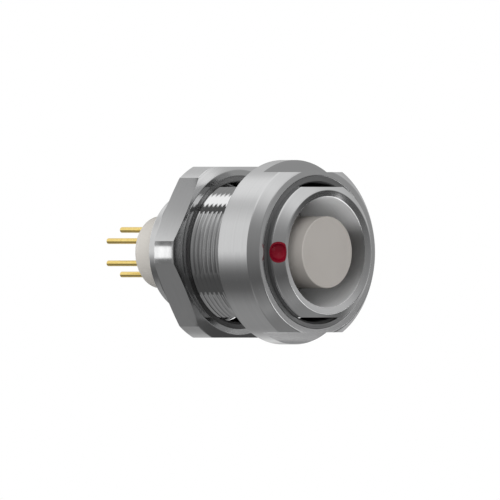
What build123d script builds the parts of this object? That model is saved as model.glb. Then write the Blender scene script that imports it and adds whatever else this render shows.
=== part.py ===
from build123d import *
import math
import os

# Panel receptacle of a round push-pull connector. All lengths are in millimetres.
# X runs along the connector's axis, forward to the mating face. Z is up.
# The origin is on the axis, in the panel plane: the rear face of the round front nut.
# Stations along X are counted from that plane.

# Threaded shell, outside
THREAD_DIAMETER = 16.0
THREAD_DEPTH = 0.36
THREAD_REACH = 11.97
FLATS_ACROSS = 14.5
FLATS_OVERRUN = 0.24
NOSE_REACH = 7.28
NOSE_BEVEL_LENGTH = 0.91
NOSE_LAND_LENGTH = 1.3
LIP_DIAMETER = 13.86
SLEEVE_DIAMETER = 13.34
SLEEVE_LENGTH = 2.15
SLEEVE_EDGE = 0.2

# Threaded shell, inside
MATING_BORE_DIAMETER = 12.26
LIP_CONE_DEPTH = 0.25
MATING_DEPTH = 14.3
LATCH_GROOVE_SETBACK = 8.6
LATCH_GROOVE_WIDTH = 0.8
LATCH_GROOVE_DEPTH = 0.35
WEB_THICKNESS = 1.2
REAR_BORE_DIAMETER = 11.2

# Round front nut. Its wall is counted from the thread's outer diameter.
RING_WALL = 2.25
RING_LENGTH = 5.58
RING_BEVEL = 0.95
RING_REAR_EDGE = 0.15
RING_FLATS_CUT = 1.35
RING_FLATS_LENGTH = 3.41
RING_BORE_EDGE = 0.12

# Hexagonal rear nut. Its wall is counted from the thread's outer diameter to a flat.
PANEL_GAP = 6.41
HEX_WALL = 1.5
HEX_CORNER_RISE = 0.83
HEX_THICKNESS = 3.55
HEX_FACE_INSET = 0.32
HEX_FACE_DROP = 0.3
HEX_BORE_EDGE = 0.12

# Red alignment dot, in a round dimple on the nose's bevel
DIMPLE_BALL_RADIUS = 1.3
DIMPLE_DEPTH = 0.8
ENAMEL_THICKNESS = 0.2

# Insulators
POST_DIAMETER = 8.0
POST_SETBACK = 0.12
POST_EDGE = 0.08
FRONT_FLANGE_THICKNESS = 2.0
REAR_FLANGE_THICKNESS = 1.5
STEM_DIAMETER = 8.0
STEM_LENGTH = 7.0
STEM_EDGE = 0.12

# Contacts
CONTACT_COUNT = 6
CONTACT_CIRCLE = 4.95
TAIL_DIAMETER = 0.64
TAIL_LENGTH = 6.0
TAIL_ROUND = 0.2
SHANK_DIAMETER = 1.2
BARREL_DIAMETER = 1.6
BARREL_LENGTH = 12.5

# Earthing crown
CROWN_LENGTH = 4.4
CROWN_WALL = 0.4
CROWN_BEAD = 0.22
CROWN_BEAD_LENGTH = 1.0
CROWN_SLOTS = 8
CROWN_SLOT_WIDTH = 0.5
CROWN_RIM_LENGTH = 1.1

# Insert retaining ring
RETAINER_LENGTH = 2.1
RETAINER_BORE_CLEARANCE = 0.25
SPANNER_SLOT_WIDTH = 1.3
SPANNER_SLOT_DEPTH = 0.8

# Fits
THREAD_CLEARANCE = 0.08
SEAT_CLEARANCE = 0.04
POST_CLEARANCE = 0.05
CONTACT_CLEARANCE = 0.05

# Stations and radii that follow from the sizes above
thread_radius = THREAD_DIAMETER / 2
core_radius = thread_radius - THREAD_DEPTH
nut_bore_radius = thread_radius + THREAD_CLEARANCE
mating_bore_radius = MATING_BORE_DIAMETER / 2
rear_bore_radius = REAR_BORE_DIAMETER / 2
bevel_start = NOSE_REACH - NOSE_BEVEL_LENGTH
sleeve_end = -THREAD_REACH - SLEEVE_LENGTH
web_front = NOSE_REACH - MATING_DEPTH
web_rear = web_front - WEB_THICKNESS
post_front = NOSE_REACH - POST_SETBACK
front_flange_rear = web_rear - FRONT_FLANGE_THICKNESS
rear_flange_rear = front_flange_rear - REAR_FLANGE_THICKNESS
stem_end = rear_flange_rear - STEM_LENGTH
tail_tip = stem_end - TAIL_LENGTH
barrel_front = front_flange_rear + BARREL_LENGTH
hex_front = -PANEL_GAP
hex_rear = hex_front - HEX_THICKNESS
flats_rear = hex_rear - FLATS_OVERRUN
ring_radius = thread_radius + RING_WALL
hex_apothem = thread_radius + HEX_WALL
hex_corner_radius = hex_apothem + HEX_CORNER_RISE
tool_span = 4 * max(ring_radius, hex_corner_radius)


def turned(points):
    """Solid turned about X from (station, radius) points."""
    outline = [Vector(station, 0, radius) for station, radius in points]
    return revolve(Face(Wire.make_polygon(outline, close=True)), Axis.X)


def rod(start, end, radius):
    """Plain round bar on the axis between two stations."""
    return turned([(start, 0), (end, 0), (end, radius), (start, radius)])


def slab(start, end, across):
    """Block between two stations that is 'across' high and wider than any piece."""
    middle = (start + end) / 2
    return Pos(middle, 0, 0) * Box(end - start, tool_span, across)


def contact_places():
    """Centres of the contacts, with the dot's side midway between two of them."""
    pitch = 360 / CONTACT_COUNT
    radius = CONTACT_CIRCLE / 2
    for index in range(CONTACT_COUNT):
        angle = math.radians(pitch * (index + 0.5))
        yield -radius * math.cos(angle), radius * math.sin(angle)


def dimple_ball(radius):
    """Ball that cuts the dimple, centred outside the middle of the nose's bevel."""
    lip_radius = LIP_DIAMETER / 2
    fall = thread_radius - lip_radius
    slant = math.hypot(fall, NOSE_BEVEL_LENGTH)
    outward, forward = NOSE_BEVEL_LENGTH / slant, fall / slant
    stand_off = DIMPLE_BALL_RADIUS - DIMPLE_DEPTH
    station = bevel_start + NOSE_BEVEL_LENGTH / 2 + forward * stand_off
    radial = (thread_radius + lip_radius) / 2 + outward * stand_off
    return Pos(station, -radial, 0) * Sphere(radius)


def shell_blank():
    """Turned shell, before the dimple is cut. Its two flats end behind the rear nut."""
    outside = turned(
        [
            (sleeve_end, 0),
            (NOSE_REACH, 0),
            (NOSE_REACH, LIP_DIAMETER / 2),
            (bevel_start, thread_radius),
            (bevel_start - NOSE_LAND_LENGTH, thread_radius),
            (bevel_start - NOSE_LAND_LENGTH - THREAD_DEPTH, core_radius),
            (-THREAD_REACH, core_radius),
            (-THREAD_REACH, SLEEVE_DIAMETER / 2),
            (sleeve_end + SLEEVE_EDGE, SLEEVE_DIAMETER / 2),
            (sleeve_end, SLEEVE_DIAMETER / 2 - SLEEVE_EDGE),
        ]
    )
    round_part = outside & slab(sleeve_end, flats_rear, tool_span)
    flat_part = outside & slab(flats_rear, NOSE_REACH, FLATS_ACROSS)
    body = round_part + flat_part
    groove_front = NOSE_REACH - LATCH_GROOVE_SETBACK
    groove_rear = groove_front - LATCH_GROOVE_WIDTH
    groove_radius = mating_bore_radius + LATCH_GROOVE_DEPTH
    bore = turned(
        [
            (web_front, 0),
            (NOSE_REACH, 0),
            (NOSE_REACH, LIP_DIAMETER / 2),
            (NOSE_REACH - LIP_CONE_DEPTH, mating_bore_radius),
            (groove_front, mating_bore_radius),
            (groove_front - LATCH_GROOVE_DEPTH, groove_radius),
            (groove_rear, groove_radius),
            (groove_rear, mating_bore_radius),
            (web_front, mating_bore_radius),
        ]
    )
    web_hole = rod(web_rear, web_front, POST_DIAMETER / 2 + POST_CLEARANCE)
    rear_bore = rod(sleeve_end, web_rear, rear_bore_radius)
    return body - bore - web_hole - rear_bore


def shell():
    """Threaded shell: bevelled nose, double flats, mating bore and rear sleeve."""
    return shell_blank() - dimple_ball(DIMPLE_BALL_RADIUS)


def alignment_dot():
    """Red enamel that lines the dimple and follows its hollow."""
    ball = dimple_ball(DIMPLE_BALL_RADIUS)
    hollow = dimple_ball(DIMPLE_BALL_RADIUS - ENAMEL_THICKNESS)
    return (shell_blank() & ball) - hollow


def front_nut():
    """Round nut with a bevelled front and two wrench flats behind it."""
    radius = ring_radius
    blank = turned(
        [
            (0, nut_bore_radius + RING_BORE_EDGE),
            (0, radius - RING_REAR_EDGE),
            (RING_REAR_EDGE, radius),
            (RING_LENGTH - RING_BEVEL, radius),
            (RING_LENGTH, radius - RING_BEVEL),
            (RING_LENGTH, nut_bore_radius),
            (RING_BORE_EDGE, nut_bore_radius),
        ]
    )
    shoulder = RING_LENGTH - RING_FLATS_LENGTH
    round_part = blank & slab(0, shoulder, tool_span)
    flat_part = blank & slab(shoulder, RING_LENGTH, 2 * (radius - RING_FLATS_CUT))
    return round_part + flat_part


def rear_nut():
    """Hexagonal nut with turned corners and a shallow bevel on both faces."""
    corner = hex_corner_radius
    face = hex_apothem - HEX_FACE_INSET
    envelope = turned(
        [
            (hex_rear, nut_bore_radius + HEX_BORE_EDGE),
            (hex_rear, face),
            (hex_rear + HEX_FACE_DROP, corner),
            (hex_front - HEX_FACE_DROP, corner),
            (hex_front, face),
            (hex_front, nut_bore_radius + HEX_BORE_EDGE),
            (hex_front - HEX_BORE_EDGE, nut_bore_radius),
            (hex_rear + HEX_BORE_EDGE, nut_bore_radius),
        ]
    )
    hexagon = Plane.YZ * RegularPolygon(hex_apothem, 6, major_radius=False)
    prism = Pos(hex_rear, 0, 0) * extrude(hexagon, HEX_THICKNESS)
    return envelope & prism


def front_insulator():
    """Insulator with the mating post, its flange and the contact chambers."""
    radius = POST_DIAMETER / 2
    flange_radius = rear_bore_radius - SEAT_CLEARANCE
    body = turned(
        [
            (front_flange_rear, 0),
            (post_front, 0),
            (post_front, radius - POST_EDGE),
            (post_front - POST_EDGE, radius),
            (web_rear, radius),
            (web_rear, flange_radius),
            (front_flange_rear, flange_radius),
        ]
    )
    chamber = rod(front_flange_rear, barrel_front, BARREL_DIAMETER / 2 + CONTACT_CLEARANCE)
    for y, z in contact_places():
        body -= Pos(0, y, z) * chamber
    return body


def rear_insulator():
    """Insulator that closes the chambers and carries the contact tails out."""
    radius = STEM_DIAMETER / 2
    flange_radius = rear_bore_radius - SEAT_CLEARANCE
    body = turned(
        [
            (stem_end, 0),
            (front_flange_rear, 0),
            (front_flange_rear, flange_radius),
            (rear_flange_rear, flange_radius),
            (rear_flange_rear, radius),
            (stem_end + STEM_EDGE, radius),
            (stem_end, radius - STEM_EDGE),
        ]
    )
    passage = rod(stem_end, front_flange_rear, SHANK_DIAMETER / 2 + CONTACT_CLEARANCE)
    for y, z in contact_places():
        body -= Pos(0, y, z) * passage
    return body


def contact():
    """One turned contact on the axis: tail, shank and barrel."""
    tail, shank, barrel = TAIL_DIAMETER / 2, SHANK_DIAMETER / 2, BARREL_DIAMETER / 2
    return turned(
        [
            (tail_tip, 0),
            (barrel_front, 0),
            (barrel_front, barrel),
            (front_flange_rear, barrel),
            (front_flange_rear, shank),
            (stem_end, shank),
            (stem_end, tail),
            (tail_tip + TAIL_ROUND, tail),
            (tail_tip, tail - TAIL_ROUND),
        ]
    )


def earthing_crown():
    """Ring of spring fingers at the foot of the mating bore."""
    outer = mating_bore_radius - SEAT_CLEARANCE
    inner = outer - CROWN_WALL
    tip = web_front + CROWN_LENGTH
    body = turned(
        [
            (web_front, inner),
            (tip - CROWN_BEAD_LENGTH, inner),
            (tip - CROWN_BEAD_LENGTH / 2, inner - CROWN_BEAD),
            (tip, inner),
            (tip, outer),
            (web_front, outer),
        ]
    )
    slot_length = CROWN_LENGTH - CROWN_RIM_LENGTH
    slot_middle = tip - slot_length / 2
    slot_radius = (inner - CROWN_BEAD + outer) / 2
    slot = Pos(slot_middle, 0, slot_radius) * Box(
        slot_length, CROWN_SLOT_WIDTH, 2 * (outer - slot_radius + CROWN_BEAD)
    )
    for index in range(CROWN_SLOTS):
        body -= Rot(360 * index / CROWN_SLOTS, 0, 0) * slot
    return body


def retaining_ring():
    """Threaded ring behind the insulators, with two spanner slots."""
    outer = rear_bore_radius - SEAT_CLEARANCE
    inner = STEM_DIAMETER / 2 + RETAINER_BORE_CLEARANCE
    rear = rear_flange_rear - RETAINER_LENGTH
    body = rod(rear, rear_flange_rear, outer) - rod(rear, rear_flange_rear, inner)
    slot = Pos(rear + SPANNER_SLOT_DEPTH / 2, 0, 0) * Box(
        SPANNER_SLOT_DEPTH, 2 * outer, SPANNER_SLOT_WIDTH
    )
    return body - slot


def save(shape, node):
    """Write one sub-part under its node's name."""
    export_step(shape, f"parts/{node}.step")


def main():
    os.makedirs("parts", exist_ok=True)
    save(shell(), "threaded_shell")
    save(alignment_dot(), "alignment_dot")
    save(front_nut(), "round_front_nut")
    save(rear_nut(), "hex_rear_nut")
    save(front_insulator(), "front_insulator")
    save(rear_insulator(), "rear_insulator")
    save(earthing_crown(), "earthing_crown")
    save(retaining_ring(), "insert_retaining_ring")
    for number, (y, z) in enumerate(contact_places(), start=1):
        save(Pos(0, y, z) * contact(), f"contact_{number}")


main()
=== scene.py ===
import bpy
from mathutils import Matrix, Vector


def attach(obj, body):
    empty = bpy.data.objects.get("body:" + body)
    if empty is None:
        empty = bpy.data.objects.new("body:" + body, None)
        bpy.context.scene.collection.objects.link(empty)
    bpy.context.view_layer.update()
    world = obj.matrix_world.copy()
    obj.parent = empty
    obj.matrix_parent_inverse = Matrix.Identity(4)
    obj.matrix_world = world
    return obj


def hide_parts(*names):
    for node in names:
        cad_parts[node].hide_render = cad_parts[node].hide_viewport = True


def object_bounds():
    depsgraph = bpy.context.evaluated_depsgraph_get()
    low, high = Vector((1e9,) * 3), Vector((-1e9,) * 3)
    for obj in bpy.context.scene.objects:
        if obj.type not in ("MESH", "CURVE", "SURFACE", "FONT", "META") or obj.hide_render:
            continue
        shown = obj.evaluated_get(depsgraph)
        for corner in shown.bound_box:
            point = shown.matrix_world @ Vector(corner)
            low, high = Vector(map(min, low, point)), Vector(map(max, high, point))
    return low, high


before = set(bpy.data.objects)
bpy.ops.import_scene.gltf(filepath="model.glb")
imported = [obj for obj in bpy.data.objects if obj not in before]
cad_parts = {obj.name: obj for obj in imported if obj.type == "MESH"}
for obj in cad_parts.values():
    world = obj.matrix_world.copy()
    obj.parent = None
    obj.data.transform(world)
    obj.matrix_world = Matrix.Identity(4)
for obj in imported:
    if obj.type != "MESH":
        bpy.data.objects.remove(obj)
cad_bounds = [list(corner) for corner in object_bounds()]

import logging
import math
from dataclasses import dataclass
from enum import Enum
from typing import Iterable, Optional, Sequence, Union

import bmesh
import bpy
from mathutils import Vector

log = logging.getLogger("receptacle")

MM = 0.001
TURN = 2 * math.pi
SHARP_ANGLE = math.radians(20)
WELD_DISTANCE = 0.0005 * MM
AXIS_RADIUS = 1e-6
EASE_SHARE = 0.3
HOLD_SHARE = 1.5
FAR = 1000.0
CUT_MARGIN = 1.0

Point = tuple[float, float]
Place = tuple[float, float, float]
Colour = tuple[float, float, float]
Piece = bpy.types.Object
Material = bpy.types.Material
Node = bpy.types.Node
Socket = bpy.types.NodeSocket
Inputs = dict[Union[str, int], object]


class Body(Enum):
    """The three bodies that move apart from each other."""

    SHELL = "shell"
    FRONT_NUT = "front_nut"
    REAR_NUT = "rear_nut"


class Slot(Enum):
    """The record's material slots."""

    SHELL = "plated_shell"
    NUT = "plated_nut"
    ENAMEL = "red_enamel"
    POST = "front_polymer"
    STEM = "rear_polymer"
    SPRING = "spring_metal"
    GILT = "gilt_contact"


class Cut(Enum):
    """What a cutting tool leaves of a blank."""

    COMMON = "INTERSECT"
    REST = "DIFFERENCE"


# Meshes


def eased(outline: Sequence[Point], ease: float = 0.04, steps: int = 6) -> list[Point]:
    """Breaks every corner of a closed outline by a small round and holds the sides beside it.

    Args:
        outline: Corners as (station, radius) in mm, closed from the last to the first.
        ease: Length taken from each side of a corner in mm, and at most EASE_SHARE of it.
        steps: Faces in each round.

    Returns:
        The finer outline, in mm. Corners on the axis stay as they are.
    """
    finer: list[Point] = []
    count = len(outline)
    for index, (x, r) in enumerate(outline):
        before, after = Vector(outline[index - 1]), Vector(outline[(index + 1) % count])
        corner = Vector((x, r))
        if r < AXIS_RADIUS:
            finer.append((x, r))
            continue
        back, ahead = before - corner, after - corner
        reach = min(ease, EASE_SHARE * back.length, EASE_SHARE * ahead.length)
        start = corner + back.normalized() * reach
        end = corner + ahead.normalized() * reach
        finer.append(tuple(corner + back.normalized() * (reach * HOLD_SHARE)))
        for step in range(steps + 1):
            t = step / steps
            finer.append(tuple(start * (1 - t) ** 2 + corner * (2 * t * (1 - t)) + end * t**2))
        finer.append(tuple(corner + ahead.normalized() * (reach * HOLD_SHARE)))
    return finer


def band(rear: float, front: float, inner: float, outer: float) -> list[Point]:
    """Outline of a plain ring or bar between two stations and two radii, in mm."""
    return [(rear, inner), (front, inner), (front, outer), (rear, outer)]


def around_axis(x: float, radius: float, angle: float) -> Place:
    """Place in metres of a station and radius in mm, turned up from the side of the dot."""
    return (x * MM, -radius * MM * math.cos(angle), radius * MM * math.sin(angle))


def new_object(name: str, data: bpy.types.ID) -> Piece:
    """Links a mesh, lamp or camera to the scene as an object at the origin."""
    piece = bpy.data.objects.new(name, data)
    bpy.context.scene.collection.objects.link(piece)
    return piece


def discard(piece: Piece) -> None:
    """Removes a helper piece and its mesh."""
    spare = piece.data
    bpy.data.objects.remove(piece)
    bpy.data.meshes.remove(spare)


def mesh_from(name: str, work: bmesh.types.BMesh) -> Piece:
    """Closes a working mesh, turns its faces outward and links it.

    Args:
        name: Name of the object and of its mesh.
        work: The mesh, which is freed here.

    Returns:
        The linked object.
    """
    bmesh.ops.remove_doubles(work, verts=work.verts, dist=WELD_DISTANCE)
    bmesh.ops.recalc_face_normals(work, faces=work.faces)
    mesh = bpy.data.meshes.new(name)
    work.to_mesh(mesh)
    work.free()
    return new_object(name, mesh)


def turned(name: str, outline: Sequence[Point], segments: int = 256) -> Piece:
    """Turns a closed outline about the X axis.

    Args:
        name: Name of the object.
        outline: Corners as (station, radius) in mm.
        segments: Faces around the axis.

    Returns:
        A closed mesh. Corners on the axis become poles.
    """
    work = bmesh.new()
    rings: list[list[bmesh.types.BMVert]] = []
    for x, r in outline:
        if r < AXIS_RADIUS:
            rings.append([work.verts.new((x * MM, 0, 0))])
            continue
        angles = (TURN * step / segments for step in range(segments))
        rings.append([work.verts.new(around_axis(x, r, angle)) for angle in angles])
    for index, ring in enumerate(rings):
        following = rings[(index + 1) % len(rings)]
        if len(ring) == 1 and len(following) == 1:
            continue
        for step in range(segments):
            a, b = ring[step % len(ring)], ring[(step + 1) % len(ring)]
            c, d = following[(step + 1) % len(following)], following[step % len(following)]
            work.faces.new(list(dict.fromkeys((a, b, c, d))))
    return mesh_from(name, work)


def block(name: str, low: Sequence[float], high: Sequence[float]) -> Piece:
    """Makes a cutting block between two corners given in mm."""
    work = bmesh.new()
    bmesh.ops.create_cube(work, size=1.0)
    for vert in work.verts:
        for axis in range(3):
            middle = (low[axis] + high[axis]) / 2
            vert.co[axis] = (middle + vert.co[axis] * (high[axis] - low[axis])) * MM
    return mesh_from(name, work)


def prism(name: str, start: float, end: float, apothem: float, sides: int) -> Piece:
    """Makes a prism along X with a flat on top.

    Args:
        name: Name of the object.
        start: Station of its rear face, in mm.
        end: Station of its front face, in mm.
        apothem: Distance from the axis to a flat, in mm.
        sides: Number of flats.

    Returns:
        A closed prism.
    """
    work = bmesh.new()
    corner = apothem / math.cos(math.pi / sides)
    ends = []
    for x in (start, end):
        angles = (TURN * step / sides for step in range(sides))
        ring = [work.verts.new(around_axis(x, corner, angle)) for angle in angles]
        ends.append(ring)
        work.faces.new(ring)
    for step in range(sides):
        following = (step + 1) % sides
        work.faces.new((ends[0][step], ends[0][following], ends[1][following], ends[1][step]))
    return mesh_from(name, work)


def ball(name: str, centre: Sequence[float], radius: float) -> Piece:
    """Makes a fine ball, with its centre and radius in mm."""
    work = bmesh.new()
    bmesh.ops.create_icosphere(work, subdivisions=5, radius=radius * MM)
    bmesh.ops.translate(work, verts=work.verts, vec=Vector(centre) * MM)
    return mesh_from(name, work)


def baked(piece: Piece) -> Piece:
    """Turns a piece's modifiers into plain mesh and removes them."""
    seen = piece.evaluated_get(bpy.context.evaluated_depsgraph_get())
    mesh = bpy.data.meshes.new_from_object(seen)
    piece.modifiers.clear()
    spare = piece.data
    piece.data = mesh
    bpy.data.meshes.remove(spare)
    mesh.name = piece.name
    return piece


def cut(blank: Piece, tool: Piece, how: Cut) -> Piece:
    """Cuts a blank with a tool, which is used up.

    Args:
        blank: The piece that is cut.
        tool: A closed mesh.
        how: Whether what they share stays, or the rest.

    Returns:
        The cut blank.
    """
    step = blank.modifiers.new("cut", "BOOLEAN")
    step.operation = how.value
    step.solver = "EXACT"
    step.object = tool
    baked(blank)
    discard(tool)
    return blank


def tidied(piece: Piece) -> Piece:
    """Welds doubled corners, turns faces outward and shades smooth between sharp edges."""
    work = bmesh.new()
    work.from_mesh(piece.data)
    bmesh.ops.remove_doubles(work, verts=work.verts, dist=WELD_DISTANCE)
    bmesh.ops.dissolve_degenerate(work, dist=WELD_DISTANCE / 10, edges=work.edges)
    bmesh.ops.recalc_face_normals(work, faces=work.faces)
    work.to_mesh(piece.data)
    work.free()
    piece.data.shade_smooth()
    piece.data.set_sharp_from_angle(angle=SHARP_ANGLE)
    return piece


def fitted(
    piece: Piece,
    finish: Material,
    body: Body,
    nodes: Iterable[str],
) -> Piece:
    """Dresses a finished mesh and puts it on its body in place of its CAD nodes.

    Args:
        piece: The mesh, at the origin.
        finish: Its material.
        body: The body that it moves with.
        nodes: CAD nodes that it stands for.

    Returns:
        The same piece.
    """
    tidied(piece)
    piece.data.materials.clear()
    piece.data.materials.append(finish)
    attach(piece, body.value)
    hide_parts(*nodes)
    log.info("%s: %d faces, on %s", piece.name, len(piece.data.polygons), body.value)
    return piece


# Node trees


class Wiring:
    """Adds nodes to a tree and joins them in one call."""

    def __init__(self, tree: bpy.types.NodeTree) -> None:
        """Keeps the tree."""
        self.tree = tree

    def node(self, kind: str, inputs: Optional[Inputs] = None, **settings: object) -> Node:
        """Adds a node.

        Args:
            kind: Blender's type of node.
            inputs: Sockets or values for its inputs, by name or place.
            settings: Its properties.

        Returns:
            The node.
        """
        made = self.tree.nodes.new(kind)
        for name, value in settings.items():
            setattr(made, name, value)
        self.fill(made, inputs or {})
        return made

    def fill(self, node: Node, inputs: Inputs) -> None:
        """Feeds several inputs of a node, by name or place."""
        for label, source in inputs.items():
            self.feed(node.inputs[label], source)

    def feed(self, socket: Socket, source: object) -> None:
        """Joins a socket to another one, or sets its plain value."""
        if isinstance(source, Socket):
            self.tree.links.new(source, socket)
        elif source is not None:
            socket.default_value = source

    def math(self, how: str, *values: object, clamp: bool = False) -> Socket:
        """Adds a Math node.

        Args:
            how: Its operation.
            values: Sockets or numbers for its inputs.
            clamp: Whether its result is held between 0 and 1.

        Returns:
            Its output.
        """
        made = self.node("ShaderNodeMath", dict(enumerate(values)), operation=how, use_clamp=clamp)
        return made.outputs[0]

    def vector(self, how: str, *values: object) -> Node:
        """Adds a Vector Math node and returns it."""
        return self.node("ShaderNodeVectorMath", dict(enumerate(values)), operation=how)

    def mapped(
        self,
        value: object,
        low: float,
        high: float,
        to_low: float = 0.0,
        to_high: float = 1.0,
        smooth: bool = False,
    ) -> Socket:
        """Maps one range to another.

        Args:
            value: The socket to map.
            low: Start of its range.
            high: End of its range.
            to_low: Result at the start.
            to_high: Result at the end.
            smooth: Whether the change eases in and out.

        Returns:
            The mapped value, held inside its range.
        """
        how = "SMOOTHSTEP" if smooth else "LINEAR"
        values = dict(enumerate((value, low, high, to_low, to_high)))
        return self.node("ShaderNodeMapRange", values, interpolation_type=how).outputs[0]

    def split(self, vector: object) -> tuple[Socket, ...]:
        """Splits a vector into its three parts."""
        return tuple(self.node("ShaderNodeSeparateXYZ", {0: vector}).outputs)

    def joined(self, x: object, y: object, z: object) -> Socket:
        """Makes a vector of three parts."""
        return self.node("ShaderNodeCombineXYZ", {0: x, 1: y, 2: z}).outputs[0]

    def noise(self, vector: object, scale: object, detail: float) -> Socket:
        """Adds a solid noise and returns its value."""
        inputs = {"Vector": vector, "Scale": scale, "Detail": detail}
        return self.node("ShaderNodeTexNoise", inputs, noise_dimensions="3D").outputs[0]

    def mixed(self, share: object, first: object, second: object) -> Socket:
        """Mixes two colours by a share and returns the colour."""
        inputs = {0: share, 6: first, 7: second}
        return self.node("ShaderNodeMix", inputs, data_type="RGBA").outputs[2]

    def graded(self, share: Socket, levels: Sequence[Point], top: float) -> Socket:
        """Grey that follows a list of levels.

        Args:
            share: Where on the list, from -1 to 1.
            levels: Pairs of place and level.
            top: The level that gives white.

        Returns:
            The colour.
        """
        made = self.node("ShaderNodeValToRGB", {0: self.mapped(share, -1.0, 1.0)})
        stops = made.color_ramp.elements
        while len(stops) < len(levels):
            stops.new(0.5)
        for stop, (place, level) in zip(stops, levels):
            stop.position = place / 2 + 0.5
            stop.color = (level / top, level / top, level / top, 1)
        return made.outputs[0]


class SocketKind(Enum):
    """Kinds of socket on a node group."""

    NUMBER = "NodeSocketFloat"
    COUNT = "NodeSocketInt"
    VECTOR = "NodeSocketVector"
    OBJECT = "NodeSocketObject"
    MATERIAL = "NodeSocketMaterial"
    GEOMETRY = "NodeSocketGeometry"


class Group:
    """A node group with named sockets."""

    def __init__(
        self,
        name: str,
        kind: str,
        inputs: dict[str, SocketKind],
        outputs: dict[str, SocketKind],
    ) -> None:
        """Makes the group and its sockets.

        Args:
            name: Name of the group.
            kind: Blender's type of tree.
            inputs: Input names and kinds.
            outputs: Output names and kinds.
        """
        self.tree = bpy.data.node_groups.new(name, kind)
        for way, sockets in (("INPUT", inputs), ("OUTPUT", outputs)):
            for label, socket in sockets.items():
                self.tree.interface.new_socket(label, in_out=way, socket_type=socket.value)
        self.wiring = Wiring(self.tree)
        self.inside = self.wiring.node("NodeGroupInput").outputs
        self.result = self.wiring.node("NodeGroupOutput").inputs

    def identifier(self, label: str) -> str:
        """Identifier of the input with that name."""
        for item in self.tree.interface.items_tree:
            if item.item_type == "SOCKET" and item.in_out == "INPUT" and item.name == label:
                return item.identifier
        raise KeyError(label)

    def dressed(self, geometry: Socket) -> None:
        """Ends a geometry tree with real geometry in the material of its Finish input."""
        w = self.wiring
        real = w.node("GeometryNodeRealizeInstances", {"Geometry": geometry}).outputs[0]
        inputs = {"Geometry": real, "Material": self.inside["Finish"]}
        made = w.node("GeometryNodeSetMaterial", inputs)
        w.feed(self.result["Geometry"], made.outputs[0])


def grown(name: str, group: Group, values: dict[str, object]) -> Piece:
    """Runs a geometry tree on an empty mesh and keeps the result as plain mesh.

    Args:
        name: Name of the object.
        group: The geometry tree.
        values: Values for its inputs, by name.

    Returns:
        The baked object.
    """
    piece = new_object(name, bpy.data.meshes.new(name))
    step = piece.modifiers.new("grow", "NODES")
    step.node_group = group.tree
    for label, value in values.items():
        step[group.identifier(label)] = value
    return baked(piece)


THREAD_SIZES = (
    "Start", "End", "Pitch", "Root Radius", "Depth", "Lead", "Flare", "Back Radius",
    "Flat Height", "Flat Start",
)
RIDGE_SLOPE = 1.85
RIDGE_LIFT = -0.148


class ThreadTree(Group):
    """Geometry tree that winds a fine thread on a sleeve, closed on its far side."""

    def __init__(self) -> None:
        """Builds the tree: a grid is wound along a helix and its two ends are joined."""
        super().__init__(
            "fine_thread",
            "GeometryNodeTree",
            {
                **dict.fromkeys((*THREAD_SIZES, "First Row", "Row Step"), SocketKind.NUMBER),
                **dict.fromkeys(("Columns", "Rows"), SocketKind.COUNT),
                "Finish": SocketKind.MATERIAL,
            },
            {"Geometry": SocketKind.GEOMETRY},
        )
        w, value = self.wiring, self.inside
        start, end, pitch, rows = (value[label] for label in ("Start", "End", "Pitch", "Rows"))
        root, back = value["Root Radius"], value["Back Radius"]
        columns, last = w.math("ADD", value["Columns"], 1), w.math("ADD", rows, 2)
        size = {
            "Size X": 1.0,
            "Size Y": 1.0,
            "Vertices X": columns,
            "Vertices Y": w.math("ADD", rows, 3),
        }
        grid = w.node("GeometryNodeMeshGrid", size)
        across, down, _ = w.split(w.node("GeometryNodeInputPosition").outputs[0])
        around = w.math("ADD", across, 0.5)
        row = w.math("ROUND", w.math("MULTIPLY", w.math("ADD", down, 0.5), last))
        behind = w.math("SUBTRACT", 1, around)
        raw = w.math("MULTIPLY_ADD", w.math("SUBTRACT", row, 1), value["Row Step"], value["First Row"])
        raw = w.math("SUBTRACT", raw, w.math("MULTIPLY", behind, pitch))
        along = w.math("MINIMUM", w.math("MAXIMUM", raw, start), end)
        phase = w.math("FRACT", w.math("ADD", w.math("DIVIDE", along, pitch), behind))
        rise = w.math("SUBTRACT", 1, w.math("ABSOLUTE", w.math("MULTIPLY_ADD", phase, 2, -1)))
        ridge = w.math("MULTIPLY_ADD", rise, RIDGE_SLOPE, RIDGE_LIFT, clamp=True)
        crest = w.math("MULTIPLY_ADD", ridge, value["Depth"], root)
        beyond = w.math("SUBTRACT", along, start)
        to_end = w.math("MINIMUM", beyond, w.math("SUBTRACT", end, along))
        chamfer = w.math("ADD", w.math("ADD", root, value["Lead"]), to_end)
        mouth = w.math("SUBTRACT", w.math("ADD", root, value["Flare"]), to_end)
        limited = w.math("MAXIMUM", w.math("MINIMUM", crest, chamfer), mouth)
        before_end = w.math("LESS_THAN", row, w.math("ADD", rows, 0.5))
        on_face = w.math("MULTIPLY", w.math("GREATER_THAN", row, 0.5), before_end)
        radius = w.math("MULTIPLY_ADD", on_face, w.math("SUBTRACT", limited, back), back)
        open_row = w.math("LESS_THAN", row, w.math("ADD", rows, 1.5))
        station = w.math("MULTIPLY_ADD", beyond, open_row, start)
        angle = w.math("MULTIPLY", around, TURN)
        side = w.math("MULTIPLY", w.math("MULTIPLY", radius, -1), w.math("COSINE", angle))
        height = w.math("MULTIPLY", radius, w.math("SINE", angle))
        no_flat = w.math("LESS_THAN", along, value["Flat Start"])
        top = w.math("ADD", value["Flat Height"], no_flat)
        height = w.math("MINIMUM", w.math("MAXIMUM", height, w.math("MULTIPLY", top, -1)), top)
        wound = {"Geometry": grid.outputs["Mesh"], "Position": w.joined(station, side, height)}
        placed = w.node("GeometryNodeSetPosition", wound).outputs[0]
        closed = {"Geometry": placed, "Distance": WELD_DISTANCE}
        self.dressed(w.node("GeometryNodeMergeByDistance", closed).outputs[0])


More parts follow.
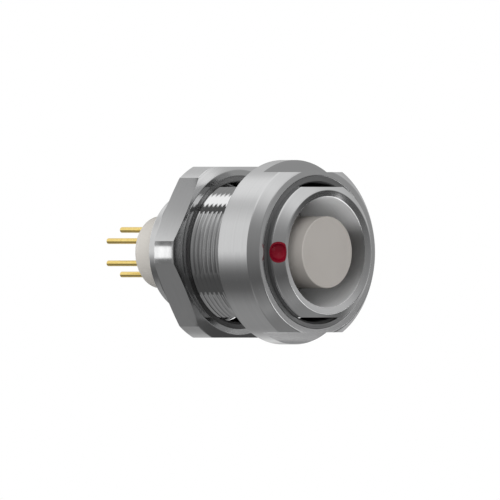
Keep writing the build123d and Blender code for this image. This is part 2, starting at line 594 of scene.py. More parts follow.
class RingTree(Group):
    """Geometry tree that sets copies of one part around the X axis."""

    def __init__(self) -> None:
        """Builds the tree: one point for each copy, turned by an even share of a turn."""
        super().__init__(
            "ring_of_copies",
            "GeometryNodeTree",
            {
                "Part": SocketKind.OBJECT,
                "Count": SocketKind.COUNT,
                "First Angle": SocketKind.NUMBER,
                "Finish": SocketKind.MATERIAL,
            },
            {"Geometry": SocketKind.GEOMETRY},
        )
        w, value = self.wiring, self.inside
        points = w.node("GeometryNodePoints", {"Count": value["Count"]}).outputs[0]
        index = w.node("GeometryNodeInputIndex").outputs[0]
        share = w.math("DIVIDE", w.math("MULTIPLY", index, TURN), value["Count"])
        turns = w.joined(w.math("ADD", share, value["First Angle"]), 0.0, 0.0)
        source = {"Object": value["Part"], "As Instance": True}
        part = w.node("GeometryNodeObjectInfo", source, transform_space="ORIGINAL")
        copies = {"Points": points, "Instance": part.outputs["Geometry"], "Rotation": turns}
        self.dressed(w.node("GeometryNodeInstanceOnPoints", copies).outputs[0])


# Shader groups


class TurningLines(Group):
    """Shader group: fine tool lines around the X axis, on sides and on faces."""

    BROAD_SCALE = 0.12
    STREAK_RANGE = (0.3, 0.7)

    def __init__(self) -> None:
        """Builds the group: noise drawn out around the axis."""
        super().__init__(
            "turning_lines",
            "ShaderNodeTree",
            {"Vector": SocketKind.VECTOR, "Lines per Metre": SocketKind.NUMBER},
            dict.fromkeys(("Height", "Streak"), SocketKind.NUMBER),
        )
        w, value = self.wiring, self.inside
        x, y, z = w.split(value["Vector"])
        radius = w.vector("LENGTH", w.joined(0.0, y, z)).outputs["Value"]
        angle = w.math("ARCTAN2", z, y)
        lines = value["Lines per Metre"]
        place = w.joined(w.math("MULTIPLY", x, lines), w.math("MULTIPLY", radius, lines), angle)
        w.feed(self.result["Height"], w.noise(place, 1.0, 2.0))
        broad = w.noise(place, self.BROAD_SCALE, 3.0)
        w.feed(self.result["Streak"], w.mapped(broad, *self.STREAK_RANGE))


class Mottle(Group):
    """Shader group: soft cloudy patches with a finer grain in them."""

    GRAIN_SCALE = 12.0
    PATCH_RANGE = (0.35, 0.65)

    def __init__(self) -> None:
        """Builds the group: two layers of noise."""
        super().__init__(
            "mottle",
            "ShaderNodeTree",
            {"Vector": SocketKind.VECTOR, "Scale": SocketKind.NUMBER},
            dict.fromkeys(("Patch", "Grain"), SocketKind.NUMBER),
        )
        w, value = self.wiring, self.inside
        patch = w.noise(value["Vector"], value["Scale"], 3.0)
        finer = w.math("MULTIPLY", value["Scale"], self.GRAIN_SCALE)
        grain = w.noise(value["Vector"], finer, 2.0)
        w.feed(self.result["Patch"], w.mapped(patch, *self.PATCH_RANGE))
        w.feed(self.result["Grain"], grain)


class Finishes:
    """Shader groups that the finishes share, built once."""

    def __init__(self) -> None:
        """Builds the groups."""
        self.lines = TurningLines()
        self.mottle = Mottle()


def cleared(owner: Union[Material, bpy.types.World]) -> Wiring:
    """Empties the shader tree of a material or world and returns its wiring."""
    owner.use_nodes = True
    owner.node_tree.nodes.clear()
    return Wiring(owner.node_tree)


def glow(name: str, strength: float, back_only: bool = False) -> tuple[Material, Wiring, Socket]:
    """Makes a glowing cloth that only reflections find.

    Args:
        name: Name of the material.
        strength: Strength of its light.
        back_only: Whether it glows on the back of its faces alone, and is clear from the front.

    Returns:
        The material, its wiring and the socket of its colour.
    """
    made = bpy.data.materials.new(name)
    w = cleared(made)
    made.cycles.emission_sampling = "NONE"
    shader = w.node("ShaderNodeEmission", {"Strength": strength})
    lit = shader.outputs[0]
    if back_only:
        back = w.node("ShaderNodeNewGeometry").outputs["Backfacing"]
        clear = w.node("ShaderNodeBsdfTransparent").outputs[0]
        lit = w.node("ShaderNodeMixShader", {0: back, 1: clear, 2: lit}).outputs[0]
    w.node("ShaderNodeOutputMaterial", {"Surface": lit})
    return made, w, shader.inputs["Color"]


def hung(name: str, work: bmesh.types.BMesh, cloth: Material) -> None:
    """Hangs a cloth in the studio, in sight of polished metal alone.

    Args:
        name: Name of the object.
        work: Its mesh.
        cloth: Its material.
    """
    sheet = mesh_from(name, work)
    sheet.data.materials.append(cloth)
    for way in ("camera", "diffuse", "shadow", "transmission", "volume_scatter"):
        setattr(sheet, f"visible_{way}", False)


@dataclass(frozen=True)
class Finish:
    """Base of every finish: a material with a Principled shader and two near colours."""

    name: str
    light: Colour
    dark: Colour

    def started(self) -> tuple[Material, Wiring, Node]:
        """Makes an empty material with its shader and output.

        Returns:
            The material, its wiring and its Principled node.
        """
        made = bpy.data.materials.new(self.name)
        w = cleared(made)
        shader = w.node("ShaderNodeBsdfPrincipled")
        w.node("ShaderNodeOutputMaterial", {"Surface": shader.outputs[0]})
        return made, w, shader

    def grouped(self, w: Wiring, group: Group, values: dict[str, object]) -> Node:
        """Places a shader group in a material, with the piece's own coordinates."""
        here = w.node("ShaderNodeTexCoord").outputs["Object"]
        return w.node("ShaderNodeGroup", {"Vector": here, **values}, node_tree=group.tree)

    def shaded(self, w: Wiring, share: Socket) -> Socket:
        """Mixes the two colours, from dark to light."""
        return w.mixed(share, (*self.dark, 1), (*self.light, 1))

    def bumped(self, w: Wiring, height: Socket, strength: float, depth: float) -> Socket:
        """Adds a Bump node.

        Args:
            w: Wiring of the material.
            height: Height from 0 to 1.
            strength: How much of the bump is used.
            depth: Depth of the full height, in metres.

        Returns:
            The bumped normal.
        """
        inputs = {"Strength": strength, "Distance": depth, "Height": height}
        return w.node("ShaderNodeBump", inputs).outputs[0]


@dataclass(frozen=True)
class TurnedMetal(Finish):
    """Bright plate over turned metal."""

    smooth: float
    rough: float
    lines_per_metre: float = 26000.0
    line_depth: float = 0.00015 * MM
    along_axis: float = 0.0
    patch_scale: float = 160.0
    streak_share: float = 0.7
    highlight_turn: float = 0.25

    def build(self, shared: Finishes) -> Material:
        """Builds the material.

        Args:
            shared: The shader groups.

        Returns:
            The material. With along_axis above 0 its highlights are drawn out along the X axis.
        """
        made, w, shader = self.started()
        lines = self.grouped(w, shared.lines, {"Lines per Metre": self.lines_per_metre}).outputs
        patch = self.grouped(w, shared.mottle, {"Scale": self.patch_scale}).outputs["Patch"]
        patch = w.math("MULTIPLY", patch, 1 - self.streak_share)
        tone = w.math("MULTIPLY_ADD", lines["Streak"], self.streak_share, patch)
        inputs = {
            "Base Color": self.shaded(w, tone),
            "Metallic": 1.0,
            "Roughness": w.mapped(tone, 0.0, 1.0, self.rough, self.smooth),
            "Normal": self.bumped(w, lines["Height"], 1.0, self.line_depth),
        }
        if self.along_axis:
            around = w.node("ShaderNodeTangent", direction_type="RADIAL", axis="X").outputs[0]
            inputs |= {"Tangent": around, "Anisotropic": self.along_axis}
            inputs["Anisotropic Rotation"] = self.highlight_turn
        w.fill(shader, inputs)
        return made


@dataclass(frozen=True)
class Polymer(Finish):
    """Matt moulded or turned polymer."""

    rough: float
    rough_spread: float = 0.05
    grain_depth: float = 0.004 * MM
    grain_strength: float = 0.5
    patch_scale: float = 220.0
    gloss: float = 0.3

    def build(self, shared: Finishes) -> Material:
        """Builds the material from the shared groups."""
        made, w, shader = self.started()
        cloud = self.grouped(w, shared.mottle, {"Scale": self.patch_scale}).outputs
        low, high = self.rough - self.rough_spread, self.rough + self.rough_spread
        inputs = {
            "Base Color": self.shaded(w, cloud["Patch"]),
            "Roughness": w.mapped(cloud["Patch"], 0.0, 1.0, low, high),
            "Specular IOR Level": self.gloss,
            "Normal": self.bumped(w, cloud["Grain"], self.grain_strength, self.grain_depth),
        }
        w.fill(shader, inputs)
        return made


@dataclass(frozen=True)
class Enamel(Finish):
    """Glossy filled enamel."""

    smooth: float = 0.3
    rough: float = 0.42
    patch_scale: float = 500.0
    gloss: float = 0.25

    def build(self, shared: Finishes) -> Material:
        """Builds the material from the shared groups."""
        made, w, shader = self.started()
        cloud = self.grouped(w, shared.mottle, {"Scale": self.patch_scale}).outputs
        inputs = {
            "Base Color": self.shaded(w, cloud["Patch"]),
            "Roughness": w.mapped(cloud["Grain"], 0.0, 1.0, self.smooth, self.rough),
            "Specular IOR Level": self.gloss,
        }
        w.fill(shader, inputs)
        return made


# Pieces of the connector


@dataclass
class FineThread:
    """A fine thread on the shell or in a nut. Lengths are in mm."""

    name: str
    start: float
    end: float
    root_radius: float
    depth: float
    back_radius: float
    nodes: tuple[str, ...]
    slot: Slot
    body: Body
    lead: float = 0.0
    flare: float = 0.0
    flat_height: float = FAR
    flat_start: float = -FAR
    pitch: float = 2 / 3
    columns: int = 300
    rows_per_pitch: int = 8

    def build(self, tree: ThreadTree, finish: Material) -> Piece:
        """Winds the thread and fits it.

        Args:
            tree: The geometry tree.
            finish: Material of the thread.

        Returns:
            The fitted piece.
        """
        row_step = self.pitch / self.rows_per_pitch
        first_row = math.floor(self.start / row_step) * row_step
        rows = math.ceil((self.end - first_row + self.pitch) / row_step) + 1
        lengths = {
            label: getattr(self, label.lower().replace(" ", "_")) for label in THREAD_SIZES
        }
        lengths |= {"First Row": first_row, "Row Step": row_step}
        values = {label: length * MM for label, length in lengths.items()}
        values |= {"Columns": self.columns, "Rows": rows, "Finish": finish}
        piece = grown(self.name, tree, values)
        return fitted(piece, finish, self.body, self.nodes)


@dataclass
class ThreadedShell:
    """Shell with its nose, mating bore, thread and rear sleeve. Lengths are in mm."""

    thread_radius: float = 8.0
    thread_depth: float = 0.28
    thread_rear: float = -11.97
    flats_across: float = 14.5
    flats_rear: float = -10.2
    nose_front: float = 7.28
    bevel_start: float = 6.37
    land_rear: float = 5.07
    lip_radius: float = 6.93
    lip_depth: float = 0.25
    sleeve_radius: float = 6.67
    sleeve_end: float = -14.12
    sleeve_edge: float = 0.2
    bore_radius: float = 6.13
    bore_foot: float = -7.02
    groove_front: float = -1.32
    groove_width: float = 0.8
    groove_depth: float = 0.35
    web_rear: float = -8.22
    web_radius: float = 4.05
    rear_bore_radius: float = 5.6
    core_radius: float = 7.04
    dimple_radius: float = 1.3
    dimple_depth: float = 0.8
    enamel_thickness: float = 0.2
    thread_clearance: float = 0.01
    finish_margin: float = 0.02
    ease: float = 0.1

    def thread_front(self) -> float:
        """Station where the thread meets the nose's land."""
        return self.land_rear - self.thread_depth

    def outline(self) -> list[Point]:
        """Outline of the shell without its thread."""
        root = self.thread_radius - self.thread_depth
        groove = self.bore_radius + self.groove_depth
        groove_rear = self.groove_front - self.groove_width
        return [
            (self.nose_front, self.lip_radius),
            (self.bevel_start, self.thread_radius),
            (self.land_rear, self.thread_radius),
            (self.thread_front(), root),
            (self.thread_front(), self.core_radius),
            (self.thread_rear, self.core_radius),
            (self.thread_rear, self.sleeve_radius),
            (self.sleeve_end + self.sleeve_edge, self.sleeve_radius),
            (self.sleeve_end, self.sleeve_radius - self.sleeve_edge),
            (self.sleeve_end, self.rear_bore_radius),
            (self.web_rear, self.rear_bore_radius),
            (self.web_rear, self.web_radius),
            (self.bore_foot, self.web_radius),
            (self.bore_foot, self.bore_radius),
            (groove_rear, self.bore_radius),
            (groove_rear, groove),
            (self.groove_front - self.groove_depth, groove),
            (self.groove_front, self.bore_radius),
            (self.nose_front - self.lip_depth, self.bore_radius),
        ]

    def blank(self, name: str) -> Piece:
        """Turned shell with its two flats, before the dimple is cut."""
        half = self.flats_across / 2
        wide = 2 * self.thread_radius
        low = (self.sleeve_end - CUT_MARGIN, -wide, -half)
        high = (self.nose_front + CUT_MARGIN, wide, half)
        bar = turned(name, eased(self.outline(), self.ease))
        return cut(bar, block("slab", low, high), Cut.COMMON)

    def dimple(self, name: str, radius: float) -> Piece:
        """Ball centred outside the middle of the nose's bevel."""
        length = self.nose_front - self.bevel_start
        fall = self.thread_radius - self.lip_radius
        slant = math.hypot(fall, length)
        stand_off = self.dimple_radius - self.dimple_depth
        station = self.bevel_start + length / 2 + fall / slant * stand_off
        radial = (self.thread_radius + self.lip_radius) / 2 + length / slant * stand_off
        return ball(name, (station, -radial, 0), radius)

    def line_bore(self, shell: Piece, bored: Material) -> None:
        """Gives the faces of the mating bore their own finish, whose lighter colour is painted light.

        Args:
            shell: The fitted shell.
            bored: Finish of the bore, lighter than the shell's plate as painted light.
        """
        shell.data.materials.append(bored)
        reach = (self.bore_radius + self.groove_depth + self.finish_margin) * MM
        front = (self.nose_front - self.lip_depth) * MM
        foot = (self.bore_foot - self.finish_margin / 2) * MM
        for face in shell.data.polygons:
            x, y, z = face.center
            if math.hypot(y, z) < reach and foot < x < front:
                face.material_index = 1

    def build(
        self,
        tree: ThreadTree,
        plate: Material,
        bored: Material,
        enamel: Material,
    ) -> None:
        """Builds the shell, its thread and the red dot.

        Args:
            tree: The geometry tree for the thread.
            plate: Finish of the shell.
            bored: Finish of its mating bore, lighter than the shell's plate as painted light.
            enamel: Finish of the dot.
        """
        shell = self.blank("shell_body")
        cut(shell, self.dimple("dimple_ball", self.dimple_radius), Cut.REST)
        fitted(shell, plate, Body.SHELL, ["threaded_shell"])
        self.line_bore(shell, bored)
        FineThread(
            name="shell_thread",
            start=self.thread_rear,
            end=self.thread_front(),
            root_radius=self.thread_radius - self.thread_depth,
            depth=self.thread_depth,
            back_radius=self.core_radius + self.thread_clearance,
            flat_height=self.flats_across / 2,
            flat_start=self.flats_rear,
            nodes=("threaded_shell",),
            slot=Slot.SHELL,
            body=Body.SHELL,
        ).build(tree, plate)
        dot = self.dimple("red_dot", self.dimple_radius)
        cut(dot, self.blank("dot_blank"), Cut.COMMON)
        hollow = self.dimple("dot_hollow", self.dimple_radius - self.enamel_thickness)
        cut(dot, hollow, Cut.REST)
        fitted(dot, enamel, Body.SHELL, ["alignment_dot"])


@dataclass
class Nut:
    """What both nuts share: an inner thread that lines a plain bore. Lengths are in mm."""

    crest_radius: float = 7.74
    liner_radius: float = 8.5
    liner_overlap: float = 0.002
    thread_depth: float = 0.28
    lead: float = 1.0
    mouth: float = 0.2

    def inner_thread(
        self, name: str, rear: float, front: float, body: Body, node: str
    ) -> FineThread:
        """Describes the inner thread.

        Args:
            name: Name of the piece.
            rear: Station of the nut's rear face.
            front: Station of its front face.
            body: The nut's body.
            node: The nut's CAD node.

        Returns:
            The thread, yet to be built.
        """
        return FineThread(
            name=name,
            start=rear,
            end=front,
            root_radius=self.crest_radius,
            depth=self.thread_depth,
            back_radius=self.liner_radius - self.liner_overlap,
            nodes=(node,),
            slot=Slot.NUT,
            body=body,
            lead=self.lead,
            flare=self.mouth,
        )


@dataclass
class RoundNut(Nut):
    """Round front nut with a bevel and two wrench flats. Lengths are in mm."""

    radius: float = 10.245
    length: float = 5.58
    bevel: float = 0.95
    rear_edge: float = 0.15
    flats_height: float = 8.9
    shoulder: float = 2.17
    ease: float = 0.1

    def build(self, tree: ThreadTree, plate: Material, tapped: Material) -> None:
        """Builds the nut's body and its inner thread.

        Args:
            tree: The geometry tree for the thread.
            plate: Finish of the nut.
            tapped: Finish of its inner thread, darker than the nut's plate as painted shade.
        """
        outline = [
            (0.0, self.liner_radius),
            (0.0, self.radius - self.rear_edge),
            (self.rear_edge, self.radius),
            (self.length - self.bevel, self.radius),
            (self.length, self.radius - self.bevel),
            (self.length, self.liner_radius),
        ]
        body = turned("round_nut_body", eased(outline, self.ease))
        for side in (-1, 1):
            near, far = self.flats_height * side, 2 * self.radius * side
            low = (self.shoulder, -2 * self.radius, min(near, far))
            high = (self.length + CUT_MARGIN, 2 * self.radius, max(near, far))
            cut(body, block("flat_cutter", low, high), Cut.REST)
        fitted(body, plate, Body.FRONT_NUT, ["round_front_nut"])
        names = ("round_nut_thread", "round_front_nut")
        thread = self.inner_thread(names[0], 0.0, self.length, Body.FRONT_NUT, names[1])
        thread.build(tree, tapped)


@dataclass
class HexNut(Nut):
    """Hexagonal rear nut with turned corners. Lengths are in mm."""

    front: float = -6.41
    thickness: float = 3.55
    apothem: float = 9.5
    corner_radius: float = 10.33
    face_radius: float = 9.18
    face_drop: float = 0.3
    ease: float = 0.06
    sides: int = 6

    def build(self, tree: ThreadTree, plate: Material, tapped: Material) -> None:
        """Builds the nut's body and its inner thread.

        Args:
            tree: The geometry tree for the thread.
            plate: Finish of the nut.
            tapped: Finish of its inner thread, darker than the nut's plate as painted shade.
        """
        rear = self.front - self.thickness
        outline = [
            (rear, self.liner_radius),
            (rear, self.face_radius),
            (rear + self.face_drop, self.corner_radius),
            (self.front - self.face_drop, self.corner_radius),
            (self.front, self.face_radius),
            (self.front, self.liner_radius),
        ]
        body = turned("hex_nut_body", eased(outline, self.ease))
        ends = (rear - CUT_MARGIN, self.front + CUT_MARGIN)
        cut(body, prism("hexagon", *ends, self.apothem, self.sides), Cut.COMMON)
        fitted(body, plate, Body.REAR_NUT, ["hex_rear_nut"])
        names = ("hex_nut_thread", "hex_rear_nut")
        thread = self.inner_thread(names[0], rear, self.front, Body.REAR_NUT, names[1])
        thread.build(tree, tapped)


@dataclass
class Insulators:
    """The front insulator with its post and the rear one with its stem. Lengths are in mm."""

    post_radius: float = 4.0
    post_front: float = 7.16
    post_edge: float = 0.08
    flange_radius: float = 5.56
    flange_front: float = -8.22
    joint: float = -10.22
    flange_rear: float = -11.72
    stem_end: float = -18.72
    stem_edge: float = 0.12
    post_ease: float = 0.03
    stem_ease: float = 0.04
    segments: int = 192

    def build(self, post: Material, stem: Material, passages: Piece) -> None:
        """Builds both insulators.

        Args:
            post: Finish of the front one, darker than the rear one's as painted shade.
            stem: Finish of the rear one.
            passages: Bars that cut the contacts' passages.
        """
        front = [
            (self.joint, 0.0),
            (self.post_front, 0.0),
            (self.post_front, self.post_radius - self.post_edge),
            (self.post_front - self.post_edge, self.post_radius),
            (self.flange_front, self.post_radius),
            (self.flange_front, self.flange_radius),
            (self.joint, self.flange_radius),
        ]
        piece = turned("post_insulator", eased(front, self.post_ease), self.segments)
        fitted(piece, post, Body.SHELL, ["front_insulator"])
        rear = [
            (self.stem_end, 0.0),
            (self.joint, 0.0),
            (self.joint, self.flange_radius),
            (self.flange_rear, self.flange_radius),
            (self.flange_rear, self.post_radius),
            (self.stem_end + self.stem_edge, self.post_radius),
            (self.stem_end, self.post_radius - self.stem_edge),
        ]
        piece = turned("stem_insulator", eased(rear, self.stem_ease), self.segments)
        cut(piece, passages, Cut.REST)
        fitted(piece, stem, Body.SHELL, ["rear_insulator"])


@dataclass
class Contacts:
    """Six gilt contacts on a circle. Lengths are in mm."""

    count: int = 6
    circle_radius: float = 2.475
    tail_radius: float = 0.32
    tail_tip: float = -24.72
    tail_round: float = 0.2
    stem_end: float = -18.72
    shank_radius: float = 0.6
    barrel_rear: float = -10.22
    barrel_front: float = 2.28
    barrel_radius: float = 0.8
    passage_radius: float = 0.65
    passage_depth: float = 1.0
    ease: float = 0.05
    segments: int = 48

    def around(
        self, name: str, outline: Sequence[Point], tree: RingTree, finish: Material
    ) -> Piece:
        """Turns one piece at a contact's place and sets one for each contact.

        Args:
            name: Name of the ring of pieces.
            outline: Corners of one piece as (station, radius).
            tree: The geometry tree for the ring.
            finish: Material of the pieces.

        Returns:
            All the pieces as one mesh.
        """
        one = turned(f"{name}_single", outline, self.segments)
        for vert in one.data.vertices:
            vert.co.y -= self.circle_radius * MM
        values = {
            "Part": one,
            "Count": self.count,
            "First Angle": TURN / self.count / 2,
            "Finish": finish,
        }
        ring = grown(name, tree, values)
        discard(one)
        return ring

    def passages(self, tree: RingTree, finish: Material) -> Piece:
        """Makes the bars that cut the contacts' passages into the end of the stem."""
        start, end = self.stem_end - CUT_MARGIN, self.stem_end + self.passage_depth
        return self.around("passages", band(start, end, 0.0, self.passage_radius), tree, finish)

    def build(self, tree: RingTree, gilt: Material) -> None:
        """Builds one contact and sets six of them around the axis.

        Args:
            tree: The geometry tree for the ring.
            gilt: Finish of the contacts.
        """
        outline = [
            (self.tail_tip, 0.0),
            (self.tail_tip, self.tail_radius - self.tail_round),
            (self.tail_tip + self.tail_round, self.tail_radius),
            (self.stem_end, self.tail_radius),
            (self.stem_end, self.shank_radius),
            (self.barrel_rear, self.shank_radius),
            (self.barrel_rear, self.barrel_radius),
            (self.barrel_front, self.barrel_radius),
            (self.barrel_front, 0.0),
        ]
        ring = self.around("contacts", eased(outline, self.ease), tree, gilt)
        nodes = [f"contact_{number}" for number in range(1, self.count + 1)]
        fitted(ring, gilt, Body.SHELL, nodes)


@dataclass
class EarthingCrown:
    """Ring of spring fingers at the foot of the mating bore. Lengths are in mm."""

    fingers: int = 8
    outer_radius: float = 6.09
    wall: float = 0.4
    foot: float = -7.02
    tip: float = -2.62
    rim: float = 1.1
    bead: float = 0.22
    bead_length: float = 1.0
    slot: float = 0.5
    overlap: float = 0.02
    ease: float = 0.03
    segments: int = 180

    def build(self, tree: RingTree, spring: Material) -> None:
        """Builds the rim and one finger and sets copies of it around the axis.

        Args:
            tree: The geometry tree for the ring.
            spring: Finish of the crown, lightened as painted light for the foot of the bore.
        """
        inner = self.outer_radius - self.wall
        outline = [
            (self.foot, inner),
            (self.tip - self.bead_length, inner),
            (self.tip - self.bead_length / 2, inner - self.bead),
            (self.tip, inner),
            (self.tip, self.outer_radius),
            (self.foot, self.outer_radius),
        ]
        sector = turned("one_finger", eased(outline, self.ease), self.segments)
        half_turn = math.pi / self.fingers
        width = 2 * (self.outer_radius * math.sin(half_turn)) - self.slot
        base = self.foot + self.rim - self.overlap
        low = (base, -self.outer_radius - CUT_MARGIN, -width / 2)
        high = (self.tip + CUT_MARGIN, 0.0, width / 2)
        cut(sector, block("finger_slab", low, high), Cut.COMMON)
        fingers = grown(
            "crown_fingers",
            tree,
            {"Part": sector, "Count": self.fingers, "First Angle": half_turn, "Finish": spring},
        )
        discard(sector)
        fitted(fingers, spring, Body.SHELL, ["earthing_crown"])
        rim = band(self.foot, self.foot + self.rim, inner, self.outer_radius)
        piece = turned("crown_rim", eased(rim, self.ease), self.segments)
        fitted(piece, spring, Body.SHELL, ["earthing_crown"])


@dataclass
class RetainingRing:
    """Threaded ring with two spanner slots behind the insulators. Lengths are in mm."""

    front: float = -11.72
    length: float = 2.1
    outer_radius: float = 5.56
    inner_radius: float = 4.25
    slot_width: float = 1.3
    slot_depth: float = 0.8
    ease: float = 0.05
    segments: int = 192

    def build(self, plate: Material) -> None:
        """Builds the ring and cuts its slots."""
        rear = self.front - self.length
        outline = band(rear, self.front, self.inner_radius, self.outer_radius)
        ring = turned("retaining_ring", eased(outline, self.ease), self.segments)
        low = (rear - CUT_MARGIN, -2 * self.outer_radius, -self.slot_width / 2)
        high = (rear + self.slot_depth, 2 * self.outer_radius, self.slot_width / 2)
        cut(ring, block("slot_cutter", low, high), Cut.REST)
        fitted(ring, plate, Body.SHELL, ["insert_retaining_ring"])


# Studio


@dataclass(frozen=True)
class PhotoCamera:
    """Level camera without perspective, as in the photo. Lengths are in mm."""

    azimuth: float = math.radians(43.9)
    pixels_per_mm: float = 9.0
    frame_pixels: int = 500
    axis_pixel: tuple[float, float] = (280.9, 252.2)
    distance: float = 1000.0
    reach: float = 10000.0

    def build(self) -> None:
        """Places the camera and makes it the scene's own."""
        data = bpy.data.cameras.new("photo_camera")
        data.type = "ORTHO"
        data.ortho_scale = self.frame_pixels / self.pixels_per_mm * MM
        data.clip_start, data.clip_end = MM, self.reach * MM
        camera = new_object("photo_camera", data)
        away = Vector((math.sin(self.azimuth), -math.cos(self.azimuth), 0))
        right = Vector((math.cos(self.azimuth), math.sin(self.azimuth), 0))
        middle = self.frame_pixels / 2
        across = (middle - self.axis_pixel[0]) / self.pixels_per_mm
        up = (self.axis_pixel[1] - middle) / self.pixels_per_mm
        place = away * self.distance + right * across + Vector((0, 0, up))
        camera.location = place * MM
        camera.rotation_euler = (math.pi / 2, 0, self.azimuth)
        bpy.context.scene.camera = camera


@dataclass(frozen=True)
class Lamp:
    """A soft square lamp aimed at the connector. Lengths are in metres."""

    name: str
    place: Place
    size: float
    power: float

    def build(self) -> None:
        """Places the lamp, out of sight of reflections."""
        data = bpy.data.lights.new(self.name, "AREA")
        data.shape = "SQUARE"
        data.size = self.size
        data.energy = self.power
        lamp = new_object(self.name, data)
        lamp.location = self.place
        lamp.rotation_euler = (-Vector(self.place)).to_track_quat("-Z", "Y").to_euler()
        lamp.visible_glossy = False
        lamp.visible_camera = False


@dataclass(frozen=True)
class ReflectionTent:
    """Soft grey and white tent around the connector, which only polished metal sees.

    Each list gives (height, level) from the floor at -1 to the ceiling at 1.
    """

    radius: float = 0.6
    top_level: float = 1.6
    back_blend: Point = (-0.6, -0.2)
    left_blend: Point = (-0.1, 0.45)
    front_blend: Point = (0.1, 0.55)
    left: tuple[Point, ...] = (
        (-1.0, 0.3), (-0.75, 0.4), (-0.68, 0.37), (-0.62, 0.266), (-0.54, 0.163), (-0.44, 0.147),
        (-0.33, 0.195), (-0.27, 0.266), (-0.21, 0.37), (-0.153, 0.51), (-0.09, 0.72),
        (-0.03, 0.92), (0.03, 1.0), (0.43, 1.0), (0.55, 0.88), (0.62, 0.8), (0.67, 0.85),
        (0.72, 1.13), (1.0, 1.2),
    )
    front: tuple[Point, ...] = (
        (-1.0, 0.26), (-0.91, 0.26), (-0.81, 0.4), (-0.73, 0.33), (-0.61, 0.23), (-0.47, 0.15),
        (-0.4, 0.15), (-0.28, 0.18), (-0.2, 0.21), (0.0, 0.28), (0.22, 0.335), (0.36, 0.36),
        (0.47, 0.43), (0.58, 0.55), (0.68, 0.76), (0.877, 1.17), (1.0, 1.2),
    )
    right: tuple[Point, ...] = (
        (-1.0, 0.3), (-0.8, 0.35), (-0.6, 0.2), (-0.4, 0.08), (-0.25, 0.12), (-0.1, 0.3),
        (0.0, 0.42), (0.2, 0.6), (0.4, 0.72), (0.75, 0.8), (1.0, 1.2),
    )
    back: tuple[Point, ...] = (
        (-1.0, 0.3), (-0.8, 0.25), (-0.7, 0.3), (-0.6, 1.0), (-0.4, 1.1), (-0.2, 0.5),
        (0.0, 0.48), (0.4, 0.5), (0.75, 0.6), (1.0, 1.2),
    )

    def material(self, azimuth: float) -> Material:
        """Glow by direction, level with the photo's left, front, right and back.

        Args:
            azimuth: The camera's azimuth, in radians.

        Returns:
            An emission material.
        """
        made, w, colour = glow("tent_cloth", self.top_level)
        here = w.node("ShaderNodeTexCoord").outputs["Object"]
        away = w.vector("NORMALIZE", here).outputs["Vector"]
        _, _, up = w.split(away)
        lists = (self.left, self.front, self.right, self.back)
        parts = (w.graded(up, levels, self.top_level) for levels in lists)
        left_part, front_part, right_part, back_part = parts
        near = (math.sin(azimuth), -math.cos(azimuth), 0)
        left = (-math.cos(azimuth), -math.sin(azimuth), 0)
        to_camera = w.vector("DOT_PRODUCT", away, near).outputs["Value"]
        to_left = w.vector("DOT_PRODUCT", away, left).outputs["Value"]
        beside = w.mapped(to_left, *self.back_blend, smooth=True)
        sides = w.mixed(beside, right_part, back_part)
        sides = w.mixed(w.mapped(to_left, *self.left_blend, smooth=True), sides, left_part)
        before = w.mapped(to_camera, *self.front_blend, smooth=True)
        w.feed(colour, w.mixed(before, sides, front_part))
        return made

    def build(self, azimuth: float) -> None:
        """Puts the tent up."""
        work = bmesh.new()
        bmesh.ops.create_icosphere(work, subdivisions=4, radius=self.radius)
        hung("reflection_tent", work, self.material(azimuth))


@dataclass(frozen=True)
class NearCard:
    """Small graded card, which only one part of the connector reflects. Lengths are in mm.

    The levels run from the lower edge at -1 to the upper edge at 1.
    """

    name: str
    middle: Place
    side: Place
    rise: Place
    levels: tuple[Point, ...]
    top_level: float = 2.2

    def build(self) -> None:
        """Hangs the card."""
        made, w, colour = glow(self.name, self.top_level)
        here = w.node("ShaderNodeTexCoord").outputs["Object"]
        middle, side, rise = Vector(self.middle), Vector(self.side), Vector(self.rise)
        offset = w.vector("SUBTRACT", here, tuple(middle * MM)).outputs["Vector"]
        ruler = tuple(rise / rise.length_squared / MM)
        share = w.vector("DOT_PRODUCT", offset, ruler).outputs["Value"]
        w.feed(colour, w.graded(share, self.levels, self.top_level))
        work = bmesh.new()
        corners = []
        for across, up in ((-1, -1), (1, -1), (1, 1), (-1, 1)):
            corners.append(work.verts.new((middle + side * across + rise * up) * MM))
        work.faces.new(corners)
        hung(self.name, work, made)


CORNER_CARD = NearCard(
    "corner_card",
    middle=(-22.19, -24.63, 0.0),
    side=(0.83, -0.8, 0.0),
    rise=(0.0, 0.0, 8.6),
    levels=((-1.0, 0.2), (-0.32, 0.2), (-0.27, 1.75), (0.27, 1.75), (0.32, 0.2), (1.0, 0.2)),
)
FLAT_CARD = NearCard(
    "flat_card",
    middle=(-22.06, -15.43, 17.22),
    side=(-3.35, 2.69, -2.17),
    rise=(-0.83, -3.82, -3.13),
    levels=((-1.0, 0.47), (0.0, 0.58), (0.5, 0.8), (1.0, 1.15)),
)
LOW_CARD = NearCard(
    "low_card",
    middle=(24.0, 11.0, -10.0),
    side=(0.0, 14.0, 0.0),
    rise=(10.0, 0.0, 0.0),
    levels=((-1.0, 2.2), (1.0, 1.7)),
)
HIGH_CARD = NearCard(
    "high_card",
    middle=(31.0, 11.0, 25.0),
    side=(0.0, 14.0, 0.0),
    rise=(11.0, 0.0, 0.0),
    levels=((-1.0, 0.85), (-0.35, 0.9), (-0.1, 1.25), (1.0, 1.25)),
)


